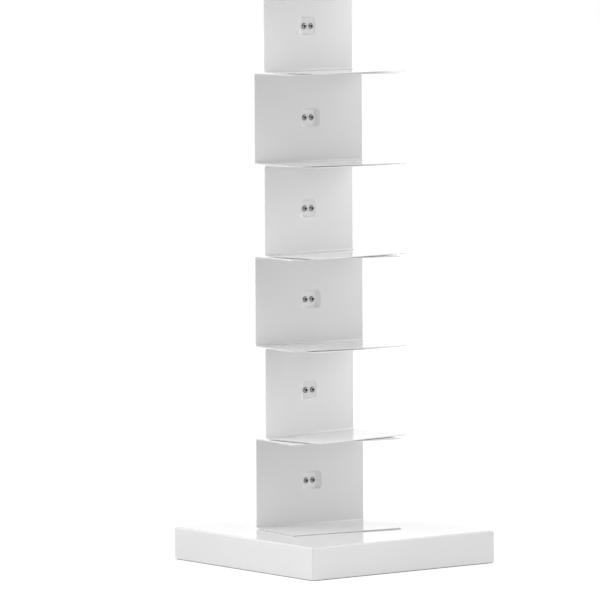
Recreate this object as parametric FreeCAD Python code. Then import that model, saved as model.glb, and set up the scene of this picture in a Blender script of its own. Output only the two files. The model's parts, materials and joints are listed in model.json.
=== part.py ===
"""Spine bookshelf.

A square weighted base carries one upright square tube. C-shaped shelves of folded sheet steel are
screwed to the front of the tube, one above another, and are turned alternately to either side.
Each shelf's back has a pressed square pad whose floor is parallel to the tube, so that the shelf
stands turned while its pad seats flat on the tube.

Frame: +Z up, origin on the floor under the centre of the base. The shelves open towards -Y and
the column stands behind them. Sizes are in millimetres.
"""
import FreeCAD, Part
import math
import os

# ---- Driving dimensions ----

# Base cover: a square lid of sheet steel with folded sides
cover_side = 350.0
cover_height = 48.8
cover_sheet = 2.0
cover_corner_radius = 1.5
cover_top_radius = 2.5
cover_floor_gap = 1.2

# Base plate under the cover
plate_thickness = 6.0
plate_side_clearance = 2.0
plate_corner_radius = 4.0

# Ballast slab on the base plate, cut away round the column's foot
ballast_side = 260.0
ballast_thickness = 18.0
ballast_corner_radius = 6.0
ballast_foot_clearance = 3.0
ballast_nut_clearance = 3.0
ballast_screw_inset = 25.0

# Angle tabs that hold the cover down on the base plate
tab_length = 40.0
tab_reach = 18.0
tab_height = 24.0
tab_sheet = 2.0
tab_bend_radius = 3.0
tab_screw_inset = 10.0

# Column
tube_side = 30.0
tube_wall = 2.0
tube_corner_radius = 3.0
tube_hole_clearance = 0.5
tube_top_setdown = 6.0
foot_side = 110.0
foot_thickness = 8.0
foot_corner_radius = 5.0
foot_screw_inset = 17.0
weld_leg = 3.0
weld_toe = 0.2

# Plastic cap in the top of the column
cap_thickness = 3.0
cap_edge_radius = 1.0
cap_spigot_depth = 14.0
cap_spigot_wall = 2.0
cap_clearance = 0.2

# Shelves
shelf_count = 14
shelf_width = 190.0
shelf_depth = 116.0
shelf_height = 139.4
shelf_gap = 0.6
first_shelf_gap = 0.3
shelf_sheet = 1.5
shelf_bend_radius = 4.5
shelf_tip_radius = 1.5
shelf_turn = 7.5
shelf_back_y = 60.0

# Pressed pad in each shelf's back
pad_floor_side = 24.0
pad_floor_radius = 4.0
pad_seat_depth = 2.6
pad_deep_run = 8.0
pad_shallow_run = 1.5
pad_side_run = 1.5
pad_wall_growth = 0.5
pad_mouth_blend = 5.0
pad_floor_blend = 2.0
pad_seat_blend = 2.5

# Low M5 button-head screws, two to a shelf and one to a cover tab
button_radius = 2.5
button_head_radius = 4.75
button_head_height = 2.0
button_rim_height = 0.5
button_dome_bulge = 0.45
button_socket = 3.0
button_socket_depth = 1.6
button_socket_land = 0.3
shelf_screw_spacing = 13.0
shelf_screw_length = 12.0
shelf_screw_hole_clearance = 0.25
cover_screw_length = 12.0

# Rivet nuts in the column's front wall
rivet_nut_radius = 3.5
rivet_nut_length = 11.0
rivet_nut_collar_radius = 5.0
rivet_nut_collar_length = 2.5

# Flat-head screws under the base, M8 for the column and M6 for the ballast
foot_screw_radius = 4.0
foot_screw_head_radius = 8.0
foot_screw_length = 12.0
foot_screw_socket = 5.0
ballast_screw_radius = 3.0
ballast_screw_head_radius = 6.0
ballast_screw_length = 16.0
ballast_screw_socket = 4.0
base_socket_depth = 2.0

# Levelling feet
glide_inset = 27.0
glide_height = 8.0
glide_radius = 18.0
glide_sole_radius = 16.0
glide_edge_chamfer = 1.0
stud_radius = 4.0
stud_length = 22.0
stud_hex = 13.0
stud_hex_height = 3.5
weld_nut_hex = 13.0
weld_nut_height = 6.5

# Fits
thread_clearance = 0.05
hole_clearance = 0.5

# ---- Derived places ----

plate_bottom = glide_height
plate_top = plate_bottom + plate_thickness
cover_top = cover_floor_gap + cover_height
cover_inside = cover_side - 2 * cover_sheet
plate_side = cover_inside - 2 * plate_side_clearance
foot_top = plate_top + foot_thickness
shelf_pitch = shelf_height + shelf_gap
first_shelf_bottom = cover_top + first_shelf_gap
column_front_y = shelf_back_y + pad_seat_depth
column_y = column_front_y + tube_side / 2
shelves_top = first_shelf_bottom + shelf_count * shelf_pitch - shelf_gap
tube_top = shelves_top - tube_top_setdown - cap_thickness
glide_place = cover_side / 2 - glide_inset
foot_screw_place = foot_side / 2 - foot_screw_inset
ballast_screw_place = ballast_side / 2 - ballast_screw_inset
tab_screw_place = cover_inside / 2 - tab_screw_inset

V = FreeCAD.Vector
UP = V(0, 0, 1)
BACKWARD = V(0, 1, 0)
CORNERS = {"front_left": (-1, -1), "front_right": (1, -1), "back_right": (1, 1), "back_left": (-1, 1)}
# How far a quarter arc's middle lies in from the corner, as a share of its radius
CORNER_CUT = 1 - math.sqrt(0.5)
# How near two places are that count as one
TOUCH = 0.01


# ---- Shape helpers ----

def rounded_outline(x_low, x_high, y_low, y_high, radius):
    """A closed outline in the XY plane with four equal round corners."""
    turn = radius * CORNER_CUT
    sides = [
        (V(x_low + radius, y_low), V(x_high - radius, y_low)),
        (V(x_high, y_low + radius), V(x_high, y_high - radius)),
        (V(x_high - radius, y_high), V(x_low + radius, y_high)),
        (V(x_low, y_high - radius), V(x_low, y_low + radius)),
    ]
    middles = [
        V(x_high - turn, y_low + turn),
        V(x_high - turn, y_high - turn),
        V(x_low + turn, y_high - turn),
        V(x_low + turn, y_low + turn),
    ]
    edges = []
    for index, (start, end) in enumerate(sides):
        next_start = sides[(index + 1) % len(sides)][0]
        edges.append(Part.LineSegment(start, end).toShape())
        edges.append(Part.Arc(end, middles[index], next_start).toShape())
    return Part.Wire(edges)


def slab(width, depth, height, radius, bottom, centre_y=0.0):
    """An upright block with round upright corners, centred on X."""
    outline = rounded_outline(-width / 2, width / 2, centre_y - depth / 2, centre_y + depth / 2, radius)
    block = Part.Face(outline).extrude(UP * height)
    block.translate(UP * bottom)
    return block


def turned(outline_points, centre=V(0, 0, 0), axis=UP):
    """A solid of revolution about axis from (radius, height) points."""
    points = [V(radius, 0, height) for radius, height in outline_points]
    profile = Part.Face(Part.makePolygon(points + points[:1]))
    body = profile.revolve(V(0, 0, 0), UP, 360)
    body.Placement = FreeCAD.Placement(centre, FreeCAD.Rotation(UP, axis))
    return body


def rod(radius, length, start, axis=UP):
    return Part.makeCylinder(radius, length, start, axis)


def hex_prism(across_flats, height, base, axis=UP):
    """A hexagonal prism from base along axis."""
    corner_radius = across_flats / math.sqrt(3)
    corners = []
    for step in range(7):
        angle = math.radians(60 * step)
        corners.append(V(corner_radius * math.cos(angle), corner_radius * math.sin(angle), 0))
    prism = Part.Face(Part.makePolygon(corners)).extrude(UP * height)
    prism.Placement = FreeCAD.Placement(base, FreeCAD.Rotation(UP, axis))
    return prism


def at_corners(offset, centre_y=0.0):
    """The four (x, y) places at +-offset round a centre."""
    return [(x_sign * offset, centre_y + y_sign * offset) for x_sign, y_sign in CORNERS.values()]


def tab_places():
    """The four tab screws' (x, y) places with the tab's turn about Z, one at each side's middle."""
    places = []
    for quarter in range(4):
        angle = math.radians(90 * quarter)
        places.append((tab_screw_place * math.cos(angle), tab_screw_place * math.sin(angle), 90 * quarter))
    return places


# ---- Base ----

def base_cover():
    """The folded lid, open underneath, with the hole that the column comes up through."""
    outer = slab(cover_side, cover_side, cover_height, cover_corner_radius, cover_floor_gap)
    rim = [edge for edge in outer.Edges if edge.BoundBox.ZMin > cover_top - TOUCH]
    outer = outer.makeFillet(cover_top_radius, rim)
    inner = Part.makeBox(cover_inside, cover_inside, cover_height - cover_sheet,
                         V(-cover_inside / 2, -cover_inside / 2, cover_floor_gap))
    hole_side = tube_side + 2 * tube_hole_clearance
    hole = slab(hole_side, hole_side, cover_sheet, tube_corner_radius + tube_hole_clearance,
                cover_top - cover_sheet, column_y)
    return outer.cut(inner).cut(hole)


def cover_tabs():
    """Four angle tabs: one leg is welded inside the skirt, the other sits on the base plate."""
    outer, inner = tab_bend_radius, tab_bend_radius - tab_sheet
    wall = cover_inside / 2
    bend = CORNER_CUT * outer
    inner_bend = tab_sheet + CORNER_CUT * inner
    path = [
        Part.LineSegment(V(wall - tab_reach, 0, 0), V(wall - outer, 0, 0)),
        Part.Arc(V(wall - outer, 0, 0), V(wall - bend, 0, bend), V(wall, 0, outer)),
        Part.LineSegment(V(wall, 0, outer), V(wall, 0, tab_height)),
        Part.LineSegment(V(wall, 0, tab_height), V(wall - tab_sheet, 0, tab_height)),
        Part.LineSegment(V(wall - tab_sheet, 0, tab_height), V(wall - tab_sheet, 0, outer)),
        Part.Arc(V(wall - tab_sheet, 0, outer), V(wall - inner_bend, 0, inner_bend),
                 V(wall - outer, 0, tab_sheet)),
        Part.LineSegment(V(wall - outer, 0, tab_sheet), V(wall - tab_reach, 0, tab_sheet)),
        Part.LineSegment(V(wall - tab_reach, 0, tab_sheet), V(wall - tab_reach, 0, 0)),
    ]
    profile = Part.Face(Part.Wire([piece.toShape() for piece in path]))
    angle = profile.extrude(V(0, tab_length, 0))
    angle.translate(V(0, -tab_length / 2, plate_top))
    angle = angle.cut(rod(button_radius, tab_sheet, V(tab_screw_place, 0, plate_top)))
    tabs = []
    for _, _, quarter_turn in tab_places():
        tab = angle.copy()
        tab.rotate(V(0, 0, 0), UP, quarter_turn)
        tabs.append(tab)
    return Part.makeCompound(tabs)


def countersink(radius, head_radius):
    """A 90 degree cone that narrows upwards from the base plate's underside."""
    return [(0, 0), (head_radius, 0), (radius, head_radius - radius), (0, head_radius - radius)]


def base_plate():
    plate = slab(plate_side, plate_side, plate_thickness, plate_corner_radius, plate_bottom)
    cuts = []
    for x, y in at_corners(foot_screw_place, column_y):
        cuts.append(turned(countersink(foot_screw_radius + hole_clearance, foot_screw_head_radius),
                           V(x, y, plate_bottom)))
        cuts.append(rod(foot_screw_radius + hole_clearance, plate_thickness, V(x, y, plate_bottom)))
    for x, y in at_corners(ballast_screw_place):
        cuts.append(turned(countersink(ballast_screw_radius + hole_clearance, ballast_screw_head_radius),
                           V(x, y, plate_bottom)))
        cuts.append(rod(ballast_screw_radius + hole_clearance, plate_thickness, V(x, y, plate_bottom)))
    for x, y, _ in tab_places():
        cuts.append(rod(button_radius + hole_clearance, plate_thickness, V(x, y, plate_bottom)))
    for x, y in at_corners(glide_place):
        cuts.append(rod(stud_radius + hole_clearance, plate_thickness, V(x, y, plate_bottom)))
    return plate.cut(cuts)


def ballast_slab():
    """A thick steel slab with a square bay, open to the back, round the column's foot plate. It
    also keeps clear of the weld nuts outside its corners."""
    block = slab(ballast_side, ballast_side, ballast_thickness, ballast_corner_radius, plate_top)
    bay_half = foot_side / 2 + ballast_foot_clearance
    bay_depth = ballast_side / 2 - (column_y - bay_half)
    bay = Part.makeBox(2 * bay_half, bay_depth, ballast_thickness,
                       V(-bay_half, column_y - bay_half, plate_top))
    block = block.cut(bay)
    holes = []
    for x, y in at_corners(ballast_screw_place):
        holes.append(rod(ballast_screw_radius, ballast_screw_length - plate_thickness + hole_clearance,
                         V(x, y, plate_top)))
    nut_room = weld_nut_hex / math.sqrt(3) + ballast_nut_clearance
    for x, y in at_corners(glide_place):
        holes.append(rod(nut_room, ballast_thickness, V(x, y, plate_top)))
    return block.cut(holes)


def countersunk_screw(radius, head_radius, length, socket, x, y):
    """A flat-head screw driven up through the base plate from below."""
    bottom = V(x, y, plate_bottom)
    shank_radius = radius - thread_clearance
    clear_head = head_radius - thread_clearance
    head = turned(countersink(shank_radius, clear_head), bottom)
    shank = rod(shank_radius, length, bottom)
    return head.fuse(shank).removeSplitter().cut(hex_prism(socket, base_socket_depth, bottom))


def column_foot_screws():
    return Part.makeCompound([
        countersunk_screw(foot_screw_radius, foot_screw_head_radius, foot_screw_length, foot_screw_socket, x, y)
        for x, y in at_corners(foot_screw_place, column_y)])


def ballast_screws():
    return Part.makeCompound([
        countersunk_screw(ballast_screw_radius, ballast_screw_head_radius, ballast_screw_length,
                          ballast_screw_socket, x, y)
        for x, y in at_corners(ballast_screw_place)])


def button_screw(seat, axis, length):
    """A button-head socket screw. axis points from the head to the tip, seat is under the head."""
    shank_radius = button_radius - thread_clearance
    crown = V(button_socket / math.sqrt(3) + button_socket_land, 0, -button_head_height)
    rim = V(button_head_radius, 0, -button_rim_height)
    outward = (rim - crown).cross(BACKWARD).normalize()
    dome_middle = (crown + rim) * 0.5 - outward * button_dome_bulge
    outline = [
        Part.LineSegment(V(0, 0, -button_head_height), crown),
        Part.Arc(crown, dome_middle, rim),
        Part.LineSegment(rim, V(button_head_radius, 0, 0)),
        Part.LineSegment(V(button_head_radius, 0, 0), V(shank_radius, 0, 0)),
        Part.LineSegment(V(shank_radius, 0, 0), V(shank_radius, 0, length)),
        Part.LineSegment(V(shank_radius, 0, length), V(0, 0, length)),
        Part.LineSegment(V(0, 0, length), V(0, 0, -button_head_height)),
    ]
    face = Part.Face(Part.Wire([piece.toShape() for piece in outline]))
    screw = face.revolve(V(0, 0, 0), UP, 360)
    screw = screw.cut(hex_prism(button_socket, button_socket_depth, V(0, 0, -button_head_height)))
    screw.Placement = FreeCAD.Placement(seat, FreeCAD.Rotation(UP, axis))
    return screw


def cover_screws():
    return Part.makeCompound([button_screw(V(x, y, plate_bottom), UP, cover_screw_length)
                              for x, y, _ in tab_places()])


def foot_weld_nuts():
    nuts = []
    for x, y in at_corners(glide_place):
        nut = hex_prism(weld_nut_hex, weld_nut_height, V(x, y, plate_top))
        nuts.append(nut.cut(rod(stud_radius, weld_nut_height, V(x, y, plate_top))))
    return Part.makeCompound(nuts)


def foot_glide(x, y):
    """The plastic glide disc, moulded round the stud's hexagon."""
    disc = turned([(0, 0), (glide_sole_radius - glide_edge_chamfer, 0),
                   (glide_sole_radius, glide_edge_chamfer), (glide_radius, glide_height / 2),
                   (glide_radius, glide_height), (0, glide_height)])
    disc = disc.cut(hex_prism(stud_hex, stud_hex_height, V(0, 0, glide_height - stud_hex_height)))
    disc.translate(V(x, y, 0))
    return disc


def foot_stud(x, y):
    """The threaded stud. Its hexagon sits in the glide."""
    hexagon = hex_prism(stud_hex, stud_hex_height, V(x, y, glide_height - stud_hex_height))
    shank = rod(stud_radius - thread_clearance, stud_length, V(x, y, glide_height))
    return hexagon.fuse(shank).removeSplitter()


# ---- Column ----

def column_foot_plate():
    """The plate under the tube, with the weld fillet that runs round the tube."""
    plate = slab(foot_side, foot_side, foot_thickness, foot_corner_radius, plate_top, column_y)
    low = weld_outline(weld_leg, foot_top)
    high = weld_outline(weld_toe, foot_top + weld_leg)
    fillet = Part.makeLoft([low, high], True, True)
    inside = slab(tube_side, tube_side, weld_leg, tube_corner_radius, foot_top, column_y)
    plate = plate.fuse(fillet.cut(inside))
    holes = [rod(foot_screw_radius, foot_thickness, V(x, y, plate_top))
             for x, y in at_corners(foot_screw_place, column_y)]
    return plate.cut(holes)


def weld_outline(growth, height):
    half = tube_side / 2 + growth
    outline = rounded_outline(-half, half, column_y - half, column_y + half, tube_corner_radius + growth)
    outline.translate(UP * height)
    return outline


def column_tube():
    """The square tube, with a round hole for every rivet nut."""
    height = tube_top - foot_top
    inside = tube_side - 2 * tube_wall
    outer = slab(tube_side, tube_side, height, tube_corner_radius, foot_top, column_y)
    inner = slab(inside, inside, height, tube_corner_radius - tube_wall, foot_top, column_y)
    holes = [rod(rivet_nut_radius, tube_wall, V(x, column_front_y, z), BACKWARD)
             for x, z in screw_places()]
    return outer.cut(inner).cut(holes)


def screw_places():
    """The (x, z) of every shelf screw, a level pair at each shelf's middle height."""
    places = []
    for index in range(shelf_count):
        for side in (-1, 1):
            places.append((side * shelf_screw_spacing / 2, shelf_middle(index)))
    return places


def shelf_middle(index):
    return first_shelf_bottom + index * shelf_pitch + shelf_height / 2


def rivet_nuts():
    """Threaded sleeves set in the tube's front wall, swaged out behind it."""
    nuts = []
    for x, z in screw_places():
        body = turned([
            (button_radius, 0), (rivet_nut_radius, 0), (rivet_nut_radius, tube_wall),
            (rivet_nut_collar_radius, tube_wall), (rivet_nut_radius, tube_wall + rivet_nut_collar_length),
            (rivet_nut_radius, rivet_nut_length), (button_radius, rivet_nut_length),
        ], V(x, column_front_y, z), BACKWARD)
        nuts.append(body)
    return Part.makeCompound(nuts)


def column_top_cap():
    """The moulded plug that closes the tube: a flat head on a hollow square spigot."""
    head = slab(tube_side, tube_side, cap_thickness, tube_corner_radius, tube_top, column_y)
    crown = [edge for edge in head.Edges if edge.BoundBox.ZMin > tube_top + cap_thickness - TOUCH]
    head = head.makeFillet(cap_edge_radius, crown)
    spigot_side = tube_side - 2 * tube_wall - 2 * cap_clearance
    hollow_side = spigot_side - 2 * cap_spigot_wall
    bottom = tube_top - cap_spigot_depth
    spigot = slab(spigot_side, spigot_side, cap_spigot_depth, tube_corner_radius - tube_wall, bottom, column_y)
    hollow = Part.makeBox(hollow_side, hollow_side, cap_spigot_depth,
                          V(-hollow_side / 2, column_y - hollow_side / 2, bottom))
    return head.fuse(spigot).removeSplitter().cut(hollow)


# ---- Shelves ----

def folded_sheet():
    """The C section: back, two bends and two equal flanges, with its back face on Y = 0."""
    outer, inner = shelf_bend_radius, shelf_bend_radius - shelf_sheet
    outer_turn = outer * CORNER_CUT
    inner_turn = shelf_sheet + inner * CORNER_CUT
    top, depth, sheet = shelf_height, shelf_depth, shelf_sheet
    path = [
        Part.LineSegment(V(0, -depth, 0), V(0, -outer, 0)),
        Part.Arc(V(0, -outer, 0), V(0, -outer_turn, outer_turn), V(0, 0, outer)),
        Part.LineSegment(V(0, 0, outer), V(0, 0, top - outer)),
        Part.Arc(V(0, 0, top - outer), V(0, -outer_turn, top - outer_turn), V(0, -outer, top)),
        Part.LineSegment(V(0, -outer, top), V(0, -depth, top)),
        Part.LineSegment(V(0, -depth, top), V(0, -depth, top - sheet)),
        Part.LineSegment(V(0, -depth, top - sheet), V(0, -outer, top - sheet)),
        Part.Arc(V(0, -outer, top - sheet), V(0, -inner_turn, top - inner_turn), V(0, -sheet, top - outer)),
        Part.LineSegment(V(0, -sheet, top - outer), V(0, -sheet, outer)),
        Part.Arc(V(0, -sheet, outer), V(0, -inner_turn, inner_turn), V(0, -outer, sheet)),
        Part.LineSegment(V(0, -outer, sheet), V(0, -depth, sheet)),
        Part.LineSegment(V(0, -depth, sheet), V(0, -depth, 0)),
    ]
    profile = Part.Face(Part.Wire([piece.toShape() for piece in path]))
    sheet_metal = profile.extrude(V(shelf_width, 0, 0))
    sheet_metal.translate(V(-shelf_width / 2, 0, 0))
    tips = [edge for edge in sheet_metal.Edges
            if edge.BoundBox.YMax < TOUCH - depth and edge.BoundBox.XLength < TOUCH]
    return sheet_metal.makeFillet(shelf_tip_radius, tips)


def pad_wire(x_low, x_high, half_height, radius, offset, turn):
    """A round-cornered outline on the plane that lies offset behind the back face and is turned
    by turn degrees. Its points are placed by their X and Z along the shelf's back."""
    outline = rounded_outline(x_low, x_high, -half_height, half_height, radius)
    shear = FreeCAD.Matrix()
    slope = math.tan(math.radians(turn))
    shear.A21, shear.A22, shear.A23, shear.A24 = -slope, 0, 0, offset / math.cos(math.radians(turn))
    shear.A31, shear.A32, shear.A33, shear.A34 = 0, 1, 0, shelf_height / 2
    return outline.transformGeometry(shear)


def pad_form(turn, growth, mouth_offset, floor_offset, floor_blend):
    """The pressed form, from its mouth on the back to its floor on the column."""
    half_floor = pad_floor_side / 2 + growth
    deep_mouth = pad_floor_side / 2 + pad_deep_run + growth
    shallow_mouth = pad_floor_side / 2 + pad_shallow_run + growth
    left, right = (shallow_mouth, deep_mouth) if turn < 0 else (deep_mouth, shallow_mouth)
    half_mouth = half_floor + pad_side_run
    mouth = pad_wire(-left, right, half_mouth, pad_floor_radius + pad_side_run + growth, mouth_offset, 0)
    floor = pad_wire(-half_floor, half_floor, half_floor, pad_floor_radius + growth, floor_offset, turn)
    form = Part.makeLoft([mouth, floor], True, True)
    floor_face = max(form.Faces, key=lambda face: face.CenterOfMass.y)
    return form.makeFillet(floor_blend, floor_face.Edges)


def shelf(index):
    """One shelf at its place on the column. Even and odd shelves turn to opposite sides."""
    turn = shelf_turn_of(index)
    sheet_metal = folded_sheet()
    boss = pad_form(turn, pad_wall_growth, 0, pad_seat_depth, pad_seat_blend)
    hollow = pad_form(turn, 0, -shelf_sheet, pad_seat_depth - shelf_sheet, pad_floor_blend)
    sheet_metal = sheet_metal.fuse(boss).removeSplitter().cut(hollow)
    lip = [edge for edge in sheet_metal.Edges if is_pad_mouth(edge)]
    sheet_metal = sheet_metal.makeFillet(pad_mouth_blend, lip)
    sheet_metal.rotate(V(0, 0, 0), UP, turn)
    holes = [rod(button_radius + shelf_screw_hole_clearance, shelf_sheet,
                 V(side * shelf_screw_spacing / 2, pad_seat_depth - shelf_sheet, shelf_height / 2), BACKWARD)
             for side in (-1, 1)]
    sheet_metal = sheet_metal.cut(holes)
    sheet_metal.translate(V(0, shelf_back_y, first_shelf_bottom + index * shelf_pitch))
    return sheet_metal


def is_pad_mouth(edge):
    """True for the edges where the pressed wall meets the back's front face."""
    box = edge.BoundBox
    on_front_face = box.YLength < TOUCH and abs(box.YMax + shelf_sheet) < TOUCH
    return on_front_face and box.XLength < shelf_width / 2 and box.ZLength < shelf_height / 2


def shelf_turn_of(index):
    return -shelf_turn if index % 2 == 0 else shelf_turn


def shelf_screws():
    """Two button-head screws to a shelf, seated on the front of its pad."""
    head_seat_y = column_front_y - shelf_sheet
    return Part.makeCompound([button_screw(V(x, head_seat_y, z), BACKWARD, shelf_screw_length)
                              for x, z in screw_places()])


# ---- Assembly ----

def pieces():
    """Every node's name and shape, from the floor upwards."""
    made = {
        "base_cover": base_cover(),
        "cover_tabs": cover_tabs(),
        "cover_screws": cover_screws(),
        "base_plate": base_plate(),
        "ballast_slab": ballast_slab(),
        "ballast_screws": ballast_screws(),
        "foot_weld_nuts": foot_weld_nuts(),
        "column_foot_plate": column_foot_plate(),
        "column_foot_screws": column_foot_screws(),
        "column_tube": column_tube(),
        "rivet_nuts": rivet_nuts(),
        "column_top_cap": column_top_cap(),
        "shelf_screws": shelf_screws(),
    }
    for corner, (x_sign, y_sign) in CORNERS.items():
        x, y = x_sign * glide_place, y_sign * glide_place
        made["foot_glide_" + corner] = foot_glide(x, y)
        made["foot_stud_" + corner] = foot_stud(x, y)
    for index in range(shelf_count):
        made[f"shelf_{index + 1:02d}"] = shelf(index)
    return made


def main():
    os.makedirs("parts", exist_ok=True)
    for name, shape in pieces().items():
        shape.exportStep(f"parts/{name}.step")


main()
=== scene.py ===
import bmesh
import bpy
import json
import math
import random
from mathutils import Matrix, Quaternion, Vector

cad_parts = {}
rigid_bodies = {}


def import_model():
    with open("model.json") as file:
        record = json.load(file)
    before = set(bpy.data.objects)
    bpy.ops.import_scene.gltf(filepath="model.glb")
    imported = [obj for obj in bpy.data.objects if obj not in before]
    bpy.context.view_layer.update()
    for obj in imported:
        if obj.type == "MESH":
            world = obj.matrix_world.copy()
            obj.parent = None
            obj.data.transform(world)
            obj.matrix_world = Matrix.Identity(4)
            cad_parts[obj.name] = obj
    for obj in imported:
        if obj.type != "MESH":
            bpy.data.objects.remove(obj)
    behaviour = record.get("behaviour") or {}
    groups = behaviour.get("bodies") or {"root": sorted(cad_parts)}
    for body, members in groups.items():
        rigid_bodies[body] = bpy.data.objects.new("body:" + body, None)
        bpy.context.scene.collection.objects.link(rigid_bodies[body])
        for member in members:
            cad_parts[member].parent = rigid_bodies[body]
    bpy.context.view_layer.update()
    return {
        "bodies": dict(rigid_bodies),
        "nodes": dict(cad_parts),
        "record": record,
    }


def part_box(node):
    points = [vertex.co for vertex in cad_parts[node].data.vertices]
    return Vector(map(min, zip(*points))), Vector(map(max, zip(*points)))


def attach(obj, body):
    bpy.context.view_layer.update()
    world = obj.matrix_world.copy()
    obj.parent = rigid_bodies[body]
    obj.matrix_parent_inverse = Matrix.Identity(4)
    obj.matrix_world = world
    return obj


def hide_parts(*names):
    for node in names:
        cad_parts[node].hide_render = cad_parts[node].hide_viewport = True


# Spine bookshelf: finishes, fine pieces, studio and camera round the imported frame.
# Lengths are in metres and angles in degrees unless a name says otherwise.

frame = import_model()
nodes = frame["nodes"]
record = frame["record"]

# ---- Camera ----

image_pixels = 600
sensor_mm = 36.0
focal_pixels = 5208.2
camera_azimuth = -37.419
camera_elevation = 4.1812
camera_roll = -0.2427
camera_distance = 7.9313
camera_target = Vector((-0.063287, 0.0, 0.404996))
camera_reach = 100.0

# ---- Sheet edges ----

shelf_edge_round = 0.0004
edge_round_segments = 3
edge_round_angle = 60.0
same_point_distance = 0.000002

# ---- Screws: low M5 button heads with a 3 mm hexagon socket ----

round_sides = 48
screw_shank_radius = 0.00245
screw_head_radius = 0.00475
screw_head_height = 0.0020
screw_rim_height = 0.0005
screw_dome_bulge = 0.00045
screw_crown_radius = 0.00220
socket_flats = 0.0030
socket_depth = 0.0016
socket_chamfer = 0.00035
socket_point = 0.0004
# How far from the screw's axis the socket's painted shade reaches, out over the chamfer ring.
socket_shade_reach = 0.0023
screw_tip_chamfer = 0.0005
screw_edge_round = 0.0001
dome_steps = 8
smooth_turn = 32.0
screw_seed = 5

# ---- Levelling studs: M8 with a hexagon that sits in the glide ----

stud_radius = 0.00395
stud_thread_pitch = 0.00125
stud_thread_depth = 0.00062
stud_rings_per_pitch = 8
stud_end_chamfer = 0.0008
stud_hexagon_flats = 0.013
stud_hexagon_height = 0.0035
stud_hexagon_chamfer = 0.0006

# ---- Studio ----

floor_reach = 60.0
floor_colour = (0.84, 0.84, 0.84)
floor_shadow_share = 0.34
floor_glow = 0.8
floor_wear = 0.985
floor_wear_cells = 0.8

# The floor's glow fades between these shares of open sky, counted out to openness_reach.
openness_reach = 0.15
openness_samples = 12
openness_fade = (-0.03, 0.42)

# Mirrors and glass see the backdrop from the first to the second of these cosines from its middle.
backdrop_edge = (0.4, 0.7)

# The room's own strength, and where it is brighter: (azimuth, elevation, added strength).
room_strength = 0.11
room_light_sharpness = 8.0
room_lights = {
    "right": (90.0, 5.0, 1.66),
    "right_back": (135.0, 5.0, 1.15),
    "left_back": (-135.0, 5.0, 0.80),
    "left_back_high": (-135.0, 35.0, 3.02),
    "right_front": (45.0, 5.0, 1.26),
    "right_front_high": (45.0, 35.0, 1.56),
    "top_front": (0.0, 62.0, 0.86),
    "top_left": (-90.0, 62.0, 0.53),
}


def direction(azimuth, elevation):
    """The unit vector towards a place seen from the tower. Azimuth 0 is the open side, -Y."""
    turn = math.radians(azimuth)
    rise = math.radians(elevation)
    level = math.cos(rise)
    return Vector((math.sin(turn) * level, -math.cos(turn) * level, math.sin(rise)))


# ---- Node materials ----

class Value:
    """A socket that takes part in arithmetic. Each operation adds one Math node."""

    def __init__(self, graph, socket):
        self.graph = graph
        self.socket = socket

    def math(self, operation, *values):
        return self.graph.node("ShaderNodeMath", {"operation": operation}, *values)

    def __add__(self, other):
        return self.math("ADD", self, other)

    __radd__ = __add__

    def __mul__(self, other):
        return self.math("MULTIPLY", self, other)

    __rmul__ = __mul__

    def __sub__(self, other):
        return self.math("SUBTRACT", self, other)

    def __rsub__(self, other):
        return self.math("SUBTRACT", other, self)

    def __truediv__(self, other):
        return self.math("DIVIDE", self, other)

    def __pow__(self, other):
        return self.math("POWER", self, other)

    def above(self, threshold):
        return self.math("GREATER_THAN", self, threshold)

    def below(self, threshold):
        return self.math("LESS_THAN", self, threshold)

    def sine(self):
        return self.math("SINE", self)

    def absolute(self):
        return self.math("ABSOLUTE", self)

    def floor(self):
        return self.math("FLOOR", self)

    def highest(self, other):
        return self.math("MAXIMUM", self, other)

    def ramp(self, low, high):
        """0 at or under low, 1 at or over high, straight between."""
        return self.graph.node("ShaderNodeMapRange", {"clamp": True}, self, low, high, 0.0, 1.0)


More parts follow.
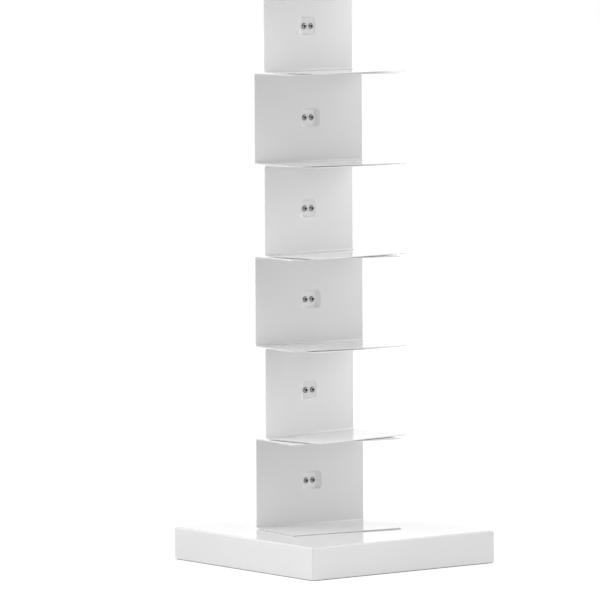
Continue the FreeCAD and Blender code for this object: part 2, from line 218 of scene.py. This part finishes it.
class Graph:
    """A node tree that is built by calls."""

    def __init__(self, tree, coordinates):
        self.tree = tree
        texture = tree.nodes.new("ShaderNodeTexCoord")
        self.place = Value(self, texture.outputs[coordinates])

    def node(self, kind, settings, *values, out=0, **named):
        """Adds a node: its settings first, then its sockets in order or by name."""
        made = self.tree.nodes.new(kind)
        for setting, value in settings.items():
            setattr(made, setting, value)
        for index, value in enumerate(values):
            self.feed(made.inputs[index], value)
        for key, value in named.items():
            self.feed(made.inputs[key.replace("_", " ")], value)
        return Value(self, made.outputs[out])

    def feed(self, socket, value):
        if isinstance(value, Value):
            self.tree.links.new(value.socket, socket)
        else:
            socket.default_value = value

    def noise(self, cells, detail=2.0, roughness=0.5):
        """Soft noise from 0 to 1, with so many cells to a metre."""
        return self.node(
            "ShaderNodeTexNoise", {},
            Vector=self.place, Scale=cells, Detail=detail, Roughness=roughness,
        )

    def crystals(self, cells, output="Distance"):
        """Cells round scattered points: the distance to the nearest one, or each cell's colour."""
        return self.node(
            "ShaderNodeTexVoronoi", {}, Vector=self.place, Scale=cells, Randomness=1.0, out=output
        )

    def axes(self, place=None):
        """The X, Y and Z of the place on the surface."""
        split = self.tree.nodes.new("ShaderNodeSeparateXYZ")
        self.feed(split.inputs[0], place or self.place)
        return [Value(self, socket) for socket in split.outputs]

    def facing_up(self):
        """The Z of the surface's direction: 1 on a level top, 0 on a wall."""
        geometry = self.tree.nodes.new("ShaderNodeNewGeometry")
        return self.axes(Value(self, geometry.outputs["Normal"]))[2]

    def towards(self, aim):
        """The cosine of the angle between the place and a direction."""
        return self.node(
            "ShaderNodeVectorMath", {"operation": "DOT_PRODUCT"}, self.place, aim, out="Value"
        )

    def blend(self, factor, first, second):
        """A colour between first and second."""
        mixed = self.tree.nodes.new("ShaderNodeMix")
        mixed.data_type = "RGBA"
        self.feed(mixed.inputs["Factor"], factor)
        self.feed(mixed.inputs["A"], first if isinstance(first, Value) else (*first, 1.0))
        self.feed(mixed.inputs["B"], second if isinstance(second, Value) else (*second, 1.0))
        return Value(self, mixed.outputs["Result"])

    def seen(self):
        """Two masks: 1 for what the camera, a mirror or glass sees, and 1 for the camera alone."""
        path = self.tree.nodes.new("ShaderNodeLightPath")
        camera_ray, glossy_ray, transmission_ray = [
            Value(self, path.outputs[ray])
            for ray in ("Is Camera Ray", "Is Glossy Ray", "Is Transmission Ray")
        ]
        return camera_ray.highest(glossy_ray).highest(transmission_ray), camera_ray


class Finish(Graph):
    """One procedural material: a Principled shader and the nodes that feed it."""

    def __init__(self, name, **constants):
        self.material = bpy.data.materials.new(name)
        self.material.use_nodes = True
        super().__init__(self.material.node_tree, "Object")
        self.shader = self.tree.nodes["Principled BSDF"]
        for socket, value in constants.items():
            self.shader.inputs[socket.replace("_", " ")].default_value = value

    def surface(self, colour=None, roughness=None, metallic=None, height=None, depth=0.0):
        """Feeds the shader. height is a relief from 0 to 1, depth its size in metres."""
        if colour:
            self.feed(self.shader.inputs["Base Color"], colour)
        if roughness:
            self.feed(self.shader.inputs["Roughness"], roughness)
        if metallic:
            self.feed(self.shader.inputs["Metallic"], metallic)
        if height:
            bump = self.node("ShaderNodeBump", {}, Strength=1.0, Distance=depth, Height=height)
            self.feed(self.shader.inputs["Normal"], bump)
        return self.material


def white_powder_coat():
    """Gloss white powder coat: faint clouding, orange peel, a few dust nibs and settled dust."""
    bright = (0.83, 0.83, 0.832)
    dull = (0.80, 0.80, 0.80)
    nib_tone = (0.45, 0.45, 0.44)
    cloud_cells = 5.0
    cloud_range = (0.3, 0.7)
    peel_cells = 330.0
    fine_peel_cells = 900.0
    nib_cells = 60.0
    nib_radius = 0.016
    nib_strength = 0.25
    dust_cells = 24.0
    dust_range = (0.4, 0.8)
    nearly_level = 0.9
    peel_share = 0.8
    peel_depth = 0.000002
    gloss = 0.05
    cloud_dulling = 0.02
    peel_dulling = 0.015
    dust_dulling = 0.015

    coat = Finish("white_powder_coat", IOR=1.5)
    clouding = coat.noise(cloud_cells, detail=3.0)
    peel = coat.noise(peel_cells)
    fine_peel = coat.noise(fine_peel_cells, detail=1.0)
    nibs = coat.crystals(nib_cells).below(nib_radius)
    tone = coat.blend(clouding.ramp(*cloud_range), bright, dull)
    colour = coat.blend(nibs * nib_strength, tone, nib_tone)
    settled = coat.facing_up().ramp(nearly_level, 1.0)
    dust = settled * coat.noise(dust_cells, detail=4.0).ramp(*dust_range)
    roughness = gloss + clouding * cloud_dulling + fine_peel * peel_dulling + dust * dust_dulling
    relief = peel * peel_share + fine_peel * (1.0 - peel_share)
    return coat.surface(colour, roughness, height=relief, depth=peel_depth)


def stainless_screw():
    """Turned stainless steel whose key socket is painted near black: painted shade in the recess,
    with a little dark residue.
    """
    bright = (0.34, 0.337, 0.332)
    dull = (0.26, 0.257, 0.253)
    # Near black painted into the key socket: painted shade for the recess, with a little dark
    # residue.
    socket_shade_tone = (0.003, 0.003, 0.003)
    turning_pitch = 0.00022
    turning_depth = 0.000004
    grime_cells = 1800.0
    grime_range = (0.35, 0.75)
    below_crown = 0.00002
    polish = 0.06
    grime_dulling = 0.08
    socket_dulling = 0.45

    steel = Finish("stainless_screw", IOR=1.3)
    across, along, height = steel.axes()
    beside_screw = across.absolute() - screw_spacing / 2
    from_first = height - first_screw_height + shelf_pitch / 2
    above_screw = from_first - (from_first / shelf_pitch).floor() * shelf_pitch - shelf_pitch / 2
    radius = (beside_screw ** 2.0 + above_screw ** 2.0) ** 0.5
    # Mask of the socket's painted shade: near the screw's axis and below its crown.
    painted_socket_shade = radius.below(socket_shade_reach) * along.above(screw_crown_y + below_crown)
    turning = (radius * (2 * math.pi / turning_pitch)).sine() * 0.5 + 0.5
    grime = steel.noise(grime_cells)
    steel_tone = steel.blend(grime.ramp(*grime_range), bright, dull)
    colour = steel.blend(painted_socket_shade, steel_tone, socket_shade_tone)
    roughness = polish + grime * grime_dulling + painted_socket_shade * socket_dulling
    return steel.surface(colour, roughness, 1.0 - painted_socket_shade, turning, turning_depth)


def zinc_plated_steel():
    """Bluish bright zinc with a fine crystalline variation."""
    blue = (0.60, 0.61, 0.63)
    pale = (0.74, 0.745, 0.74)
    crystal_cells = 420.0
    stain_cells = 60.0
    grain_cells = 1400.0
    grain_depth = 0.000006
    polish = 0.30
    spangle_share = 0.5
    stain_dulling = 0.16
    spangle_dulling = 0.05

    zinc = Finish("zinc_plated_steel", IOR=2.5, Metallic=1.0)
    spangle = zinc.axes(zinc.crystals(crystal_cells, "Color"))[0]
    stain = zinc.noise(stain_cells, detail=4.0)
    mottling = spangle * spangle_share + stain * (1.0 - spangle_share)
    colour = zinc.blend(mottling, blue, pale)
    roughness = polish + stain * stain_dulling + spangle * spangle_dulling
    return zinc.surface(colour, roughness, height=zinc.noise(grain_cells), depth=grain_depth)


def black_painted_steel():
    """Satin black primer with a faint grey bloom."""
    black = (0.028, 0.028, 0.03)
    grey = (0.052, 0.052, 0.052)
    bloom_cells = 14.0
    bloom_range = (0.35, 0.8)
    grain_cells = 650.0
    grain_depth = 0.00003
    satin = 0.42
    bloom_dulling = 0.14

    paint = Finish("black_painted_steel", IOR=1.5)
    bloom = paint.noise(bloom_cells, detail=5.0)
    grain = paint.noise(grain_cells, detail=3.0)
    colour = paint.blend(bloom.ramp(*bloom_range), black, grey)
    return paint.surface(colour, satin + bloom * bloom_dulling, height=grain, depth=grain_depth)


def ballast_iron():
    """Hot-rolled slab: blue-black scale with a brown rust bloom."""
    blue_black = (0.10, 0.105, 0.115)
    grey = (0.18, 0.18, 0.18)
    rust_tone = (0.20, 0.11, 0.06)
    scale_cells = 30.0
    scale_range = (0.3, 0.7)
    rust_cells = 11.0
    rust_range = (0.55, 0.75)
    rust_strength = 0.5
    pit_cells = 400.0
    pit_depth = 0.00005
    dullness = 0.5
    rust_dulling = 0.3
    scale_dulling = 0.1
    bare_metal = 0.7
    metal_lost_to_rust = 0.6

    iron = Finish("ballast_iron", IOR=2.0)
    scale = iron.noise(scale_cells, detail=6.0, roughness=0.6)
    rust = iron.noise(rust_cells, detail=5.0, roughness=0.65).ramp(*rust_range)
    clean = iron.blend(scale.ramp(*scale_range), blue_black, grey)
    colour = iron.blend(rust * rust_strength, clean, rust_tone)
    roughness = dullness + rust * rust_dulling + scale * scale_dulling
    metallic = bare_metal - rust * metal_lost_to_rust
    pits = iron.noise(pit_cells, detail=4.0)
    return iron.surface(colour, roughness, metallic, pits, pit_depth)


def moulded_plastic(name, first, second, roughness):
    """Satin moulded plastic with a fine spark-eroded grain."""
    cloud_cells = 40.0
    grain_cells = 1500.0
    grain_depth = 0.00002
    grain_dulling = 0.12
    cloud_dulling = 0.05

    plastic = Finish(name, IOR=1.46)
    clouding = plastic.noise(cloud_cells, detail=3.0)
    grain = plastic.noise(grain_cells)
    colour = plastic.blend(clouding, first, second)
    dulled = roughness + grain * grain_dulling + clouding * cloud_dulling
    return plastic.surface(colour, dulled, height=grain, depth=grain_depth)


def studio_white(name):
    """A pale floor that cameras, mirrors and glass see as near white, shadow included.

    Under the base, where little of the room reaches the floor, the glow fades out.
    """
    floor = Finish(name)
    tree = floor.tree
    worn = [floor_wear * channel for channel in floor_colour]
    shadowed = [floor_shadow_share * channel for channel in floor_colour]
    bounce = tree.nodes.new("ShaderNodeBsdfDiffuse")
    wear = floor.noise(floor_wear_cells)
    floor.feed(bounce.inputs["Color"], floor.blend(wear, floor_colour, worn))
    shaded = tree.nodes.new("ShaderNodeBsdfDiffuse")
    floor.feed(shaded.inputs["Color"], shadowed + [1.0])
    openness = floor.node(
        "ShaderNodeAmbientOcclusion", {"samples": openness_samples},
        Distance=openness_reach, out="AO",
    )
    light = tree.nodes.new("ShaderNodeEmission")
    floor.feed(light.inputs["Strength"], openness.ramp(*openness_fade) * floor_glow)
    both = tree.nodes.new("ShaderNodeAddShader")
    tree.links.new(shaded.outputs[0], both.inputs[0])
    tree.links.new(light.outputs[0], both.inputs[1])
    mixed = tree.nodes.new("ShaderNodeMixShader")
    floor.feed(mixed.inputs[0], floor.seen()[0])
    tree.links.new(bounce.outputs[0], mixed.inputs[1])
    tree.links.new(both.outputs[0], mixed.inputs[2])
    tree.links.new(mixed.outputs[0], tree.nodes["Material Output"].inputs["Surface"])
    tree.nodes.remove(floor.shader)
    return floor.material


# ---- Sizes read from the frame ----

shelf_names = sorted({name for name in nodes if name.startswith("shelf_")} - {"shelf_screws"})
shelf_boxes = [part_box(name) for name in shelf_names]
shelf_pitch = shelf_boxes[1][0].z - shelf_boxes[0][0].z
first_screw_height = (shelf_boxes[0][0].z + shelf_boxes[0][1].z) / 2
screw_low, screw_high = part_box("shelf_screws")
screw_crown_y = screw_low.y
screw_tip_y = screw_high.y
screw_seat_y = screw_crown_y + screw_head_height
screw_spacing = 2 * (screw_high.x - screw_head_radius)


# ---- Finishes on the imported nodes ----

def dress():
    """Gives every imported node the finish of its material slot, and returns the finishes."""
    white, cream = (0.80, 0.80, 0.79), (0.76, 0.76, 0.75)
    black, charcoal = (0.022, 0.022, 0.023), (0.036, 0.036, 0.036)
    finishes = {
        "white_powder_coat": white_powder_coat(),
        "stainless_screw": stainless_screw(),
        "zinc_plated_steel": zinc_plated_steel(),
        "black_painted_steel": black_painted_steel(),
        "ballast_iron": ballast_iron(),
        "white_plastic": moulded_plastic("white_plastic", white, cream, roughness=0.34),
        "black_plastic": moulded_plastic("black_plastic", black, charcoal, roughness=0.36),
    }
    for part in record["subparts"]:
        for slot in nodes[part["node"]].material_slots:
            slot.material = finishes[part["material_slot"]]
    return finishes


# ---- Own pieces ----

def ring(radius, height, flats=0.0, turn=0.0):
    """Points round the Z axis at height: a circle, or a hexagon of that width across flats."""
    points = []
    for step in range(round_sides):
        angle = 2 * math.pi * step / round_sides
        reach = radius
        if flats:
            from_flat = angle % (math.pi / 3) - math.pi / 6
            reach = flats / 2 / math.cos(from_flat)
        across, along = reach * math.cos(angle + turn), reach * math.sin(angle + turn)
        points.append(Vector((across, along, height)))
    return points


def skin(mesh, rings, placed):
    """Adds a closed solid to mesh: a skin over the rings from first to last, moved by placed."""
    layers = [[mesh.verts.new(placed @ point) for point in points] for points in rings]
    for low, high in zip(layers, layers[1:]):
        for index in range(len(low)):
            following = (index + 1) % len(low)
            mesh.faces.new((low[index], low[following], high[following], high[index]))
    for layer, end in ((layers[0], rings[0]), (layers[-1], rings[-1])):
        middle = mesh.verts.new(placed @ (sum(end, Vector()) / len(end)))
        for index in range(len(layer)):
            mesh.faces.new((layer[index], layer[(index + 1) % len(layer)], middle))


def piece(name, mesh, body, material_slot, finish, *replaced):
    """Makes the named piece from mesh: shaded, finished and riding on its body."""
    bmesh.ops.recalc_face_normals(mesh, faces=mesh.faces)
    for face in mesh.faces:
        face.smooth = True
    for edge in mesh.edges:
        edge.smooth = edge.calc_face_angle(0.0) < math.radians(smooth_turn)
    data = bpy.data.meshes.new(name)
    mesh.to_mesh(data)
    mesh.free()
    data.materials.append(finish)
    made = bpy.data.objects.new(name, data)
    bpy.context.scene.collection.objects.link(made)
    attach(made, body)
    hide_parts(*replaced)
    return made


def screw_rings(turn):
    """A button-head screw from its tip to the bottom of its socket. Its head looks along +Z."""
    length = screw_tip_y - screw_seat_y
    slope = Vector((screw_crown_radius - screw_head_radius, screw_head_height - screw_rim_height))
    bulge = Vector((slope.y, -slope.x)).normalized() * screw_dome_bulge * 2
    control = Vector((screw_head_radius, screw_rim_height)) + slope / 2 + bulge
    rings = [
        ring(screw_shank_radius - screw_tip_chamfer, -length),
        ring(screw_shank_radius, screw_tip_chamfer - length),
        ring(screw_shank_radius, 0.0),
        ring(screw_head_radius - screw_edge_round, 0.0),
        ring(screw_head_radius, screw_edge_round),
    ]
    for step in range(dome_steps + 1):
        share = step / dome_steps
        start = Vector((screw_head_radius, screw_rim_height)).lerp(control, share)
        end = control.lerp(Vector((screw_crown_radius, screw_head_height)), share)
        place = start.lerp(end, share)
        rings.append(ring(place.x, place.y))
    floor_height = screw_head_height - socket_depth
    rings.append(ring(socket_flats / math.sqrt(3) + socket_chamfer, screw_head_height, turn=turn))
    rings.append(ring(0.0, screw_head_height - socket_chamfer, socket_flats, turn))
    rings.append(ring(0.0, floor_height, socket_flats, turn))
    rings.append(ring(socket_point, floor_height - socket_point, turn=turn))
    return rings


def shelf_screw_heads(finish):
    """Two screws to a shelf. Each key socket has stopped at its own turn."""
    turns = random.Random(screw_seed)
    mesh = bmesh.new()
    for low, high in shelf_boxes:
        for side in (-1, 1):
            seat = Vector((side * screw_spacing / 2, screw_seat_y, (low.z + high.z) / 2))
            placed = Matrix.Translation(seat) @ Matrix.Rotation(math.pi / 2, 4, "X")
            skin(mesh, screw_rings(turns.uniform(0.0, math.pi / 3)), placed)
    piece("shelf_screws_with_sockets", mesh, "tower", "stainless_screw", finish, "shelf_screws")


def thread_ring(radius, depth, pitch, height):
    """A round of a single-start thread: its crest climbs one pitch in a turn."""
    points = ring(radius, height)
    for index, point in enumerate(points):
        phase = (height / pitch - index / len(points)) % 1.0
        inward = depth * abs(2 * phase - 1)
        share = 1 - inward / radius
        points[index] = Vector((point.x * share, point.y * share, point.z))
    return points


def stud_rings(low, high):
    """A stud from its hexagon to its chamfered end, round the Z axis."""
    hexagon_top = low + stud_hexagon_height
    rings = [
        ring(0.0, low, stud_hexagon_flats),
        ring(0.0, hexagon_top - stud_hexagon_chamfer, stud_hexagon_flats),
        ring(stud_hexagon_flats / 2 - stud_hexagon_chamfer, hexagon_top),
        ring(stud_radius - stud_thread_depth, hexagon_top),
    ]
    step = stud_thread_pitch / stud_rings_per_pitch
    count = int((high - stud_end_chamfer - hexagon_top) / step)
    for index in range(1, count + 1):
        height = hexagon_top + index * step
        rings.append(thread_ring(stud_radius, stud_thread_depth, stud_thread_pitch, height))
    rings.append(ring(stud_radius - stud_end_chamfer, high))
    return rings


def levelling_studs(finish):
    """A threaded stud in each levelling foot."""
    for name in sorted(nodes):
        if name.startswith("foot_stud_"):
            low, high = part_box(name)
            placed = Matrix.Translation(((low.x + high.x) / 2, (low.y + high.y) / 2, 0.0))
            mesh = bmesh.new()
            skin(mesh, stud_rings(low.z, high.z), placed)
            corner = name.removeprefix("foot_stud_")
            foot = "levelling_foot_" + corner
            piece("threaded_stud_" + corner, mesh, foot, "zinc_plated_steel", finish, name)


def round_edges(node, radius):
    """Rounds the cut edges of a sheet piece, as deburring and paint leave them."""
    weld = node.modifiers.new("join", "WELD")
    weld.merge_threshold = same_point_distance
    bevel = node.modifiers.new("deburr", "BEVEL")
    bevel.width = radius
    bevel.segments = edge_round_segments
    bevel.limit_method = "ANGLE"
    bevel.angle_limit = math.radians(edge_round_angle)
    bevel.harden_normals = True


# ---- Studio ----

def floor():
    """The floor stays under the lowest foot: it goes down with a foot that is screwed out."""
    mesh = bpy.data.meshes.new("studio_floor")
    half = floor_reach / 2
    corners = [(-half, -half, 0), (half, -half, 0), (half, half, 0), (-half, half, 0)]
    mesh.from_pydata(corners, [], [(0, 1, 2, 3)])
    plane = bpy.data.objects.new("studio_floor", mesh)
    mesh.materials.append(studio_white("studio_floor"))
    bpy.context.scene.collection.objects.link(plane)
    for name, body in frame["bodies"].items():
        if name.startswith("levelling_foot_"):
            under = plane.constraints.new("FLOOR")
            under.target = body
            under.floor_location = "FLOOR_NEGATIVE_Z"


def surround():
    """A white room, brighter towards its lights, with a white backdrop.

    The camera sees plain white behind the piece, and so do mirrors and glass that look to the
    backdrop's side.
    """
    world = bpy.data.worlds.new("white_room")
    world.use_nodes = True
    room = Graph(world.node_tree, "Generated")
    strength = room_strength
    for azimuth, elevation, peak in room_lights.values():
        near = room.towards(direction(azimuth, elevation)).highest(0.0)
        strength = near ** room_light_sharpness * peak + strength
    seen, camera_ray = room.seen()
    mirrored = seen * room.towards(direction(camera_azimuth + 180.0, 0.0)).ramp(*backdrop_edge)
    lit = strength + mirrored * (1.0 - strength).highest(0.0)
    background = room.tree.nodes["Background"]
    background.inputs["Color"].default_value = (1.0, 1.0, 1.0, 1.0)
    room.feed(background.inputs["Strength"], lit + camera_ray * (1.0 - lit))
    bpy.context.scene.world = world


def camera():
    """A pitched camera with a slight roll, and with no lens shift or depth of field."""
    lens = bpy.data.cameras.new("camera")
    lens.sensor_width = sensor_mm
    lens.lens = focal_pixels / image_pixels * sensor_mm
    lens.clip_end = camera_reach
    holder = bpy.data.objects.new("camera", lens)
    back = direction(camera_azimuth, camera_elevation)
    holder.location = camera_target + back * camera_distance
    level = (-back).to_track_quat("-Z", "Y")
    holder.rotation_mode = "QUATERNION"
    holder.rotation_quaternion = level @ Quaternion((0, 0, 1), math.radians(camera_roll))
    bpy.context.scene.collection.objects.link(holder)
    bpy.context.scene.camera = holder


finishes = dress()
shelf_screw_heads(finishes["stainless_screw"])
levelling_studs(finishes["zinc_plated_steel"])
for name in shelf_names:
    round_edges(nodes[name], shelf_edge_round)
floor()
surround()
camera()
bpy.context.scene.view_settings.view_transform = "Standard"
